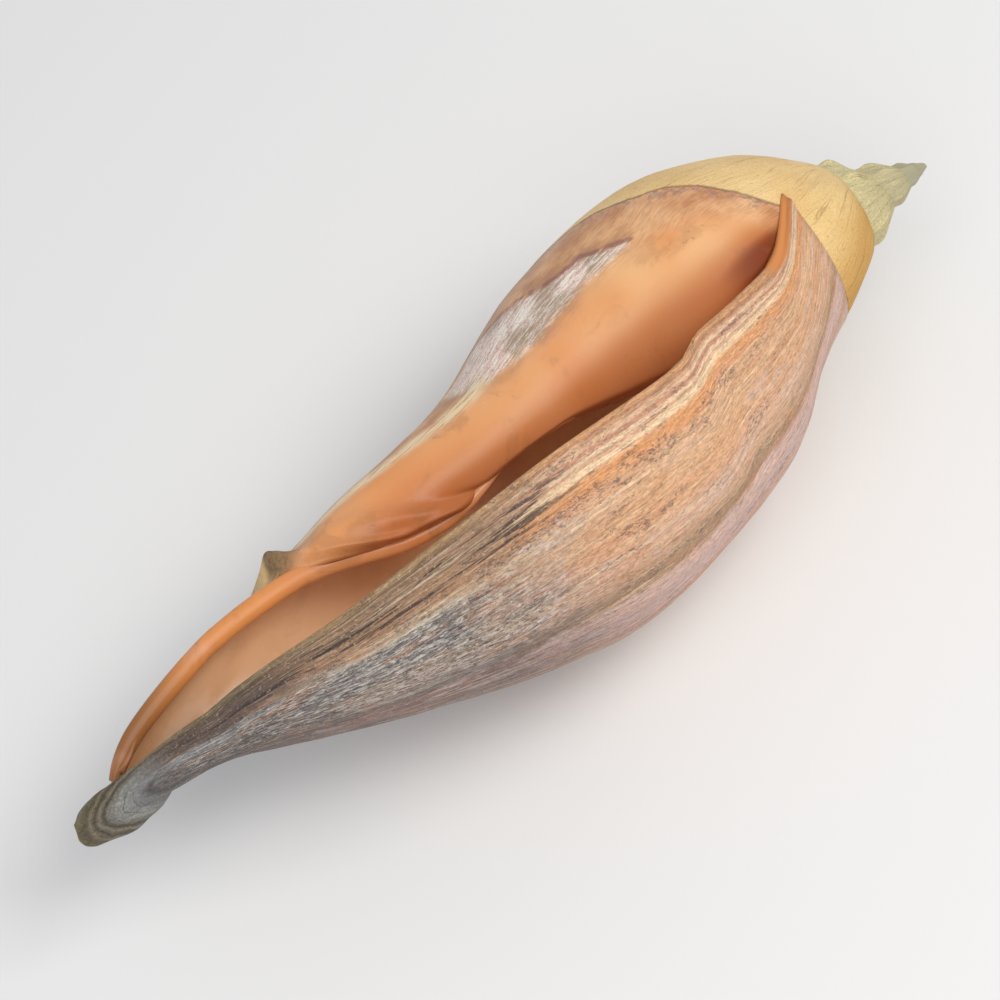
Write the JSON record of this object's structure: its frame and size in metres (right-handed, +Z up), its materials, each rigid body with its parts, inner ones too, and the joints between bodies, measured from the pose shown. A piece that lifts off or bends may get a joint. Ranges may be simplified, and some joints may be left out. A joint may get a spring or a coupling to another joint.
{
  "type": "volute sea shell",
  "caption": "Large glossy spindle-shaped volute sea shell with a wide flaring aperture, a bulbous body whorl, a short knobbly spire and a long twisted siphonal canal, lying on its back.",
  "frame": {"origin": "centre of the shell's outline seen from above, on the surface that it rests on", "axes": "+X along the shell towards the apex of the spire, +Z up, -Y the side of the outer lip"},
  "size_m": [0.3796, 0.1322, 0.1331],
  "materials": {
    "shell": "glossy"
  },
  "bodies": {
    "root": {"shell": "shell"}
  },
  "joints": []
}
